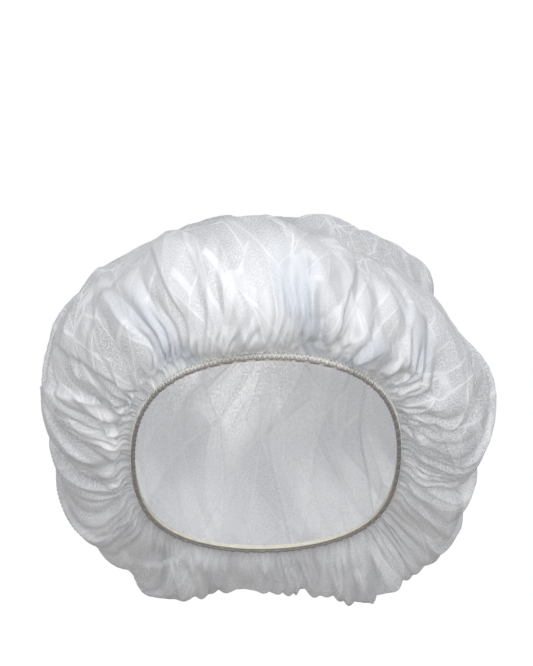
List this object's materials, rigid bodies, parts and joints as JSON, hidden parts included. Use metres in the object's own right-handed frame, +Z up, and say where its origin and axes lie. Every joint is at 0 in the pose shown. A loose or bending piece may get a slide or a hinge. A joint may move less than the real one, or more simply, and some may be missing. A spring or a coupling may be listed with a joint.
{
  "type": "disposable hair cover cap",
  "caption": "Disposable bouffant hair cover of white nonwoven cloth, gathered on an elastic hem, in its worn form.",
  "frame": {"origin": "middle of the head opening, inside the hem, where the head goes in", "axes": "+Z up along the upright head, +Y towards the back of the head, +X towards the wearer's left"},
  "size_m": [0.2651, 0.2692, 0.2343],
  "materials": {
    "cap_cloth": "matte, thin see-through white spunbond nonwoven",
    "hem_cloth": "matte, folded and stitched white nonwoven",
    "elastic": "matte off-white elastic strip"
  },
  "bodies": {
    "root": {"crown": "cap_cloth", "hem": "hem_cloth", "elastic_band": "elastic"}
  },
  "joints": []
}
